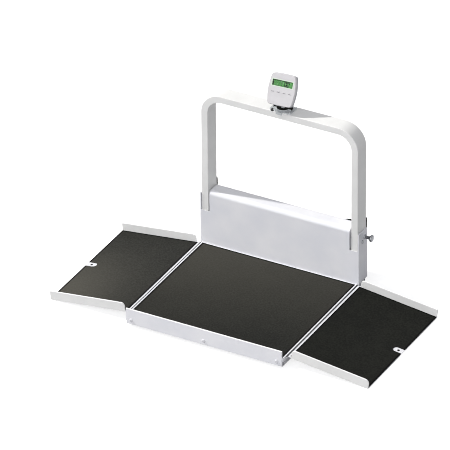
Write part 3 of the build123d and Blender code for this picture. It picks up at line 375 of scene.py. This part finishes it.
# Seven-segment figures: each segment is a bar with pointed ends, leaning a little to the right
figures = {"height": 20, "width": 10.5, "bar": 5.0, "gap": 0.3, "lean": 0.08, "lift": 0.08, "point": 1.8,
           "pointGap": 0.3, "starts": (9.0, 24.0), "low": -11,
           "ends": {"a": (0, 1, 1, 1), "b": (1, 1, 1, 0.5), "c": (1, 0.5, 1, 0), "d": (0, 0, 1, 0), "e": (0, 0.5, 0, 0),
                    "f": (0, 1, 0, 0.5)}}   # from and to, as shares of the width and height


def segmentOutline(ends):
    # a bar from a to b: at each end a point, then two shoulders half a bar in and half a bar to each side
    a, b = np.array(ends, dtype=float).reshape(2, 2) * (figures["width"], figures["height"])
    ahead = (b - a) / np.linalg.norm(b - a)
    aside = np.array([-ahead[1], ahead[0]])
    half = figures["bar"] / 2
    a, b = a + ahead * figures["gap"], b - ahead * figures["gap"]
    return np.array([a, a + (ahead + aside) * half, b + (aside - ahead) * half, b, b - (ahead + aside) * half,
                     a + (ahead - aside) * half])[::-1]


def lcdFigures():
    # place = outline + start of its figure, leaned by X + lean x height; then one square as the decimal point
    outlines = [segmentOutline(ends) + (start, 0) for start in figures["starts"] for ends in figures["ends"].values()]
    corner = figures["starts"][0] + figures["width"] + figures["bar"] / 2 + figures["pointGap"]
    size = figures["point"]
    outlines.append(np.array([(corner, 0), (corner + size, 0), (corner + size, size), (corner, size)]) - (0, size / 3))
    flat = np.concatenate(outlines)
    flat[:, 0] += figures["lean"] * flat[:, 1]
    flat[:, 1] += windowMiddle + figures["low"]
    firsts = np.cumsum([0] + [len(outline) for outline in outlines])
    faces = [list(range(first, last)) for first, last in zip(firsts[:-1], firsts[1:])]
    ink = mouldedPlastic("lcdSegmentInk", "#04180a", "#082410", 0.5, shine=0.0)
    meshPiece("lcdFigures", onFace(flat, figures["lift"] - head["lcdDeep"]), faces, ink, "display")


lcdFigures()


def flatFrame(name, outer, inner, lift, ink):
    # the band between two rectangles on the face, each as left, low, right and top
    boxes = np.array([outer, inner])
    flat = boxes[:, [[0, 1], [2, 1], [2, 3], [0, 3]]].reshape(-1, 2) + (0, windowMiddle)
    faces = [(i, (i + 1) % 4, 4 + (i + 1) % 4, 4 + i) for i in range(4)]
    meshPiece(name, onFace(flat, lift), faces, ink, "display")


halfWide, halfHigh = head["windowWidth"] / 2, head["windowHeight"] / 2
# Painted shadow of the window's recessed wall: a dark band inside the opening, wider at the left and the top as seen
windowShade = {"left": 6.5, "top": 4.2, "right": 2.4, "low": 2.0, "lift": 0.05, "clear": 0.3}
opening = np.array([windowShade["clear"] - halfWide, windowShade["clear"] - halfHigh, halfWide - windowShade["clear"],
                    halfHigh - windowShade["clear"]])
flatFrame("windowPaintedShade", opening, opening + (windowShade["left"], windowShade["low"], -windowShade["right"], -windowShade["top"]),
          windowShade["lift"] - head["lcdDeep"], mouldedPlastic("lcdPaintedShade", "#0a240d", "#0f2e13", 0.6, shine=0.0))

# Pale green band round the window
border = {"width": 3.6, "lift": 0.06}
rim = np.array([-halfWide, -halfHigh, halfWide, halfHigh])
flatFrame("windowBorder", rim + border["width"] * np.array([-1, -1, 1, 1]), rim, border["lift"],
          mouldedPlastic("paleGreenBand", "#cde5c9", "#d5ebd1", 0.5))

# Printed key legends, generic words only
legends = {"words": ("ON/OFF", "HOLD", "TARE", "ZERO"), "sizes": (3.7, 4.4, 4.4, 4.4), "bold": 0.14, "lift": 1.06,
           "right": -0.6, "low": -1.1}


def keyLegends():
    # each word is made a mesh, then moved to its key: (number - middle number) x pitch across the key row
    middle = (len(legends["words"]) - 1) / 2
    ink = mouldedPlastic("greyKeyInk", "#22232b", "#2c2d36", 0.6)
    for number, (word, size) in enumerate(zip(legends["words"], legends["sizes"])):
        text = bpy.data.curves.new("keyWord", "FONT")
        text.body = word
        text.size = size / 1000
        text.offset = legends["bold"] / 1000
        text.align_x = "CENTER"
        text.align_y = "CENTER"
        holder = bpy.data.objects.new("keyWord", text)
        bpy.context.scene.collection.objects.link(holder)
        bpy.context.view_layer.update()
        mesh = bpy.data.meshes.new_from_object(holder.evaluated_get(bpy.context.evaluated_depsgraph_get()))
        bpy.data.objects.remove(holder)
        x = (number - middle) * head["keyPitch"] + legends["right"]
        spot = Vector((x, keyLine + legends["low"], legends["lift"])) / 1000
        mesh.transform(face @ Matrix.Translation(spot))
        mesh.name = f"keyLegend{number + 1}"
        piece = bpy.data.objects.new(mesh.name, mesh)
        bpy.context.scene.collection.objects.link(piece)
        mesh.materials.clear()
        mesh.materials.append(ink)
        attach(piece, f"key_{number + 1}")


keyLegends()
print("display dressed")


def ringPiece(name, grid, material, body, sharp=40):
    # grid is rows of closed rings of points, in millimetres: a four-sided face joins each point to the next one along
    # and the next ring's two, and a flat cap closes each end. Edges sharper than sharp, in degrees, stay crisp
    rows, columns = grid.shape[:2]
    index = np.arange(rows * columns).reshape(rows, columns)
    wrapped = np.concatenate([index, index[:, :1]], axis=1)
    sides = np.stack([wrapped[:-1, :-1], wrapped[:-1, 1:], wrapped[1:, 1:], wrapped[1:, :-1]], axis=-1)
    faces = sides.reshape(-1, 4).tolist() + [index[0, ::-1].tolist(), index[-1].tolist()]
    piece = meshPiece(name, grid.reshape(-1, 3), faces, material, body)
    piece.data.shade_smooth()
    piece.data.set_sharp_from_angle(angle=math.radians(sharp))
    return piece


# Rubber buffers on the backs of the posts: D-shaped across, falling away to rounded ends
buffer = {"postX": 435.5, "back": 396.5, "middle": 377, "height": 68, "width": 34, "depth": 20, "base": 3, "rows": 25,
          "columns": 15, "shoulder": 0.35}


def postBuffer(side):
    # depth = base + (full depth - base) x square root of (1 - down^4) x (1 - shoulder x across^4), both from -1 to 1
    down = np.linspace(-1, 1, buffer["rows"])[:, None]
    across = np.concatenate([np.linspace(1, -1, buffer["columns"]), (-1, 1)])[None]
    front = np.arange(buffer["columns"] + 2)[None] < buffer["columns"]
    bulge = np.sqrt(1 - down ** 4) * (1 - buffer["shoulder"] * across ** 4)
    depth = np.where(front, buffer["base"] + (buffer["depth"] - buffer["base"]) * bulge, 0)
    x = side * buffer["postX"] + across * buffer["width"] / 2 + 0 * down
    z = buffer["middle"] + down * buffer["height"] / 2 + 0 * across
    return ringPiece(f"postBuffer{'Left' if side < 0 else 'Right'}", np.stack([x, buffer["back"] + depth, z], axis=-1),
                     blackRubber, "handrail")


for side in (-1, 1):
    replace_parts(postBuffer(side), "post_buffers")


def turned(name, start, axis, profile, material, body, steps=40):
    # point = start + axis x distance + (first x cosine of the turn + second x sine of the turn) x radius
    along = np.array(Vector(axis).normalized())
    first = np.array(Vector(axis).orthogonal().normalized())
    second = np.cross(along, first)
    distance, radius = np.array(profile, dtype=float).T
    turn = np.linspace(0, 2 * np.pi, steps, endpoint=False)
    spokes = np.cos(turn)[:, None] * first + np.sin(turn)[:, None] * second
    grid = np.array(start) + distance[:, None, None] * along + radius[:, None, None] * spokes
    return ringPiece(name, grid, material, body)


# Dome-headed screws of the front lip, painted over with it
lipScrew = {"x": (-421, 0, 421), "y": -520, "z": 43, "steps": 32,
            "profile": [(0, 10.5), (1.2, 10.5), (2.8, 9.4), (4.0, 7.2), (4.6, 4.4), (4.6, 3.4), (3.2, 3.0), (3.0, 0.4)]}
paintedScrew = mouldedPlastic("paintedScrewHead", "#d6d6da", "#dedee2", 0.35, 2.0, 0.1)
for number, x in enumerate(lipScrew["x"]):
    screw = turned(f"lipScrew{number + 1}", (x, lipScrew["y"], lipScrew["z"]), (0, -1, 0), lipScrew["profile"],
                   paintedScrew, "base", lipScrew["steps"])
    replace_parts(screw, "lip_screws")

# Bright clamp screw of the bracket, on the bar's top
clampScrew = {"spot": (-28, 306, 960.2), "profile": [(0, 4.5), (1.5, 4.5), (1.8, 2.2), (6.5, 2.2), (7.0, 4.0),
              (10.5, 4.4), (11.6, 3.4), (11.8, 0.5)]}
turned("clampScrew", clampScrew["spot"], (0, 0, 1), clampScrew["profile"],
       platedSteel("brightZincSteel", "#dedfe2", "#ebecee", 0.35, 0.5), "handrail")

# Black gland where the display's lead enters the bar
leadGland = {"spot": (-42, 309, 960.2), "profile": [(0, 9), (4.5, 9), (4.8, 7.2), (9, 6.6), (11, 5.2), (11.4, 0.5)]}
turned("leadGland", leadGland["spot"], (0, 0, 1), leadGland["profile"], darkPlastic, "handrail")

# Pull knob of the index plunger: one smooth turning, from its pin to the mushroom head
knob = {"start": (454.3, 362.5, 319), "steps": 48,
        "profile": [(0, 3.9), (15.2, 3.9), (15.3, 9.2), (22, 8.8), (30, 8.6), (35, 9.4), (39, 11.8), (43, 15.6),
        (46, 19.2), (49, 20.8), (52, 20.4), (55.5, 17.0), (57.8, 11.5), (59.2, 5.5), (59.5, 0.5)]}
knobPiece = turned("pullKnob", knob["start"], (1, 0, 0), knob["profile"], chromeSteel, "plunger",
                   knob["steps"])
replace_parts(knobPiece, "plunger_knob")
print("handrail fittings made")

# Black rubber domes in the pull holes at the ramps' outer edges, painted shade for the dark seen through each hole:
# a low dome, along the ramp's own upward direction
holeShade = {"along": 438, "y": -90.5, "top": 1.5, "steps": 28,
        "profile": [(-1.5, 6.5), (0.2, 6.9), (0.9, 6.2), (1.2, 3.5), (1.3, 0.4)]}


def rampHoleShade(side):
    # place = hinge + distance along the sloping ramp + rise at right angles to it
    slope = math.radians(hinge["slope"])
    x = hinge["x"] * 1000 + holeShade["along"] * math.cos(slope) + holeShade["top"] * math.sin(slope)
    z = hinge["z"] * 1000 - holeShade["along"] * math.sin(slope) + holeShade["top"] * math.cos(slope)
    word = "left" if side < 0 else "right"
    turned(f"pullHoleShadeDome{word.title()}", (side * x, holeShade["y"], z), (side * math.sin(slope), 0, math.cos(slope)),
           holeShade["profile"], blackRubber, f"ramp_{word}", holeShade["steps"])


for side in (-1, 1):
    rampHoleShade(side)
print("ramp plugs made")

# Studio: a white floor and background, a sun-like lamp from the left and a broad soft one from the front. Lengths in
# metres, angles in degrees
studio = {"floorSize": 60.0, "floorBounce": "#7a7a7c", "floorSeen": 0.60, "floorGlow": 0.74, "white": "#ffffff",
          "world": 0.38, "worldTint": "#f6f7fc", "keyPlan": 9.5, "keyHeight": 42, "keyStrength": 2.7,
          "keyTint": (1.0, 0.985, 0.955), "keyAngle": 2.0, "frontFrom": (0.6, -6.0, 2.4), "frontStrength": 1.57,
          "frontTint": (0.985, 0.985, 1.0), "frontAngle": 60, "lampAway": 6}


def seenStraight(tree):
    # 1 for camera, mirrored and refracted rays, which see the white background; 0 for the light that reaches the scale
    path = addNode(tree, "ShaderNodeLightPath")
    total = path.outputs["Is Camera Ray"]
    for ray in ("Is Glossy Ray", "Is Transmission Ray"):
        total = addNode(tree, "ShaderNodeMath", {0: total, 1: path.outputs[ray]}, operation="ADD",
                        use_clamp=True).outputs["Value"]
    return total


def whiteFloor():
    size = studio["floorSize"] / 2
    mesh = bpy.data.meshes.new("floorPlane")
    mesh.from_pydata([(-size, -size, 0), (size, -size, 0), (size, size, 0), (-size, size, 0)], [], [(0, 1, 2, 3)])
    floor = bpy.data.objects.new("studioFloor", mesh)
    bpy.context.scene.collection.objects.link(floor)
    material, tree, out, place = startMaterial("paleStudioFloor")
    bounce = addNode(tree, "ShaderNodeBsdfDiffuse", {"Color": toLinear(studio["floorBounce"])})
    lit = addNode(tree, "ShaderNodeBsdfDiffuse", {"Color": [studio["floorSeen"]] * 3 + [1.0]})
    glow = addNode(tree, "ShaderNodeEmission", {"Color": toLinear(studio["white"]), "Strength": studio["floorGlow"]})
    white = addNode(tree, "ShaderNodeAddShader", {0: lit.outputs["BSDF"], 1: glow.outputs["Emission"]})
    tone = addNode(tree, "ShaderNodeMixShader", {0: seenStraight(tree), 1: bounce.outputs["BSDF"],
                   2: white.outputs["Shader"]})
    tree.links.new(tone.outputs["Shader"], out.inputs["Surface"])
    mesh.materials.append(material)


def sunLamp(name, towards, strength, tint, angle):
    # towards is the direction from the object to the lamp
    light = bpy.data.lights.new(name, "SUN")
    light.energy = strength
    light.color = tint
    light.angle = math.radians(angle)
    lamp = bpy.data.objects.new(name, light)
    lamp.rotation_euler = Vector(towards).to_track_quat("Z", "Y").to_euler()
    lamp.location = Vector(towards).normalized() * studio["lampAway"]
    bpy.context.scene.collection.objects.link(lamp)


def studioWorld():
    world = bpy.data.worlds.new("studioWorld")
    world.use_nodes = True
    tree = world.node_tree
    tree.nodes.clear()
    out = addNode(tree, "ShaderNodeOutputWorld")
    dim = addNode(tree, "ShaderNodeBackground", {"Color": toLinear(studio["worldTint"]), "Strength": studio["world"]})
    white = addNode(tree, "ShaderNodeBackground", {"Color": toLinear(studio["white"]), "Strength": 1.0})
    mix = addNode(tree, "ShaderNodeMixShader", {0: seenStraight(tree), 1: dim.outputs["Background"],
                  2: white.outputs["Background"]})
    tree.links.new(mix.outputs["Shader"], out.inputs["Surface"])
    bpy.context.scene.world = world


# A long lens far off: angles in degrees, lens and sensor in millimetres, the rest in metres
view = {"azimuth": 28.50, "elevation": 31.56, "roll": -0.40, "distance": 36.629, "lens": 573.4, "sensor": 36.0,
        "target": (0, -0.1205, 0.25), "right": -0.0792, "up": 0.2284, "farthest": 200.0}


def photoCamera():
    # spot = target + distance along the line of sight; aim = target + right x sideways + up x upward, rolled
    az, el, roll = (math.radians(view[k]) for k in ("azimuth", "elevation", "roll"))
    back = Vector((math.sin(az) * math.cos(el), -math.cos(az) * math.cos(el), math.sin(el)))
    level = Vector((math.cos(az), math.sin(az), 0))
    upright = back.cross(level)
    right = level * math.cos(roll) + upright * math.sin(roll)
    up = upright * math.cos(roll) - level * math.sin(roll)
    spot = Vector(view["target"]) + back * view["distance"]
    aim = Vector(view["target"]) + right * view["right"] + up * view["up"]
    back = (spot - aim).normalized()
    right = (right - back * right.dot(back)).normalized()
    up = back.cross(right)
    data = bpy.data.cameras.new("photoCamera")
    data.lens = view["lens"]
    data.sensor_width = view["sensor"]
    data.clip_end = view["farthest"]
    camera = bpy.data.objects.new("photoCamera", data)
    turn = Matrix((right, up, back)).transposed().to_4x4()
    camera.matrix_world = Matrix.Translation(spot) @ turn
    bpy.context.scene.collection.objects.link(camera)
    bpy.context.scene.camera = camera


whiteFloor()
studioWorld()
plan, rise = math.radians(studio["keyPlan"]), math.radians(studio["keyHeight"])
sunLamp("leftKey", (-math.cos(plan) * math.cos(rise), -math.sin(plan) * math.cos(rise), math.sin(rise)),
        studio["keyStrength"], studio["keyTint"], studio["keyAngle"])
sunLamp("frontFill", studio["frontFrom"], studio["frontStrength"], studio["frontTint"], studio["frontAngle"])
photoCamera()
bpy.context.scene.view_settings.view_transform = "Standard"
bpy.context.scene.cycles.filter_width = 1.0   # as crisp as the photograph
print("studio set")
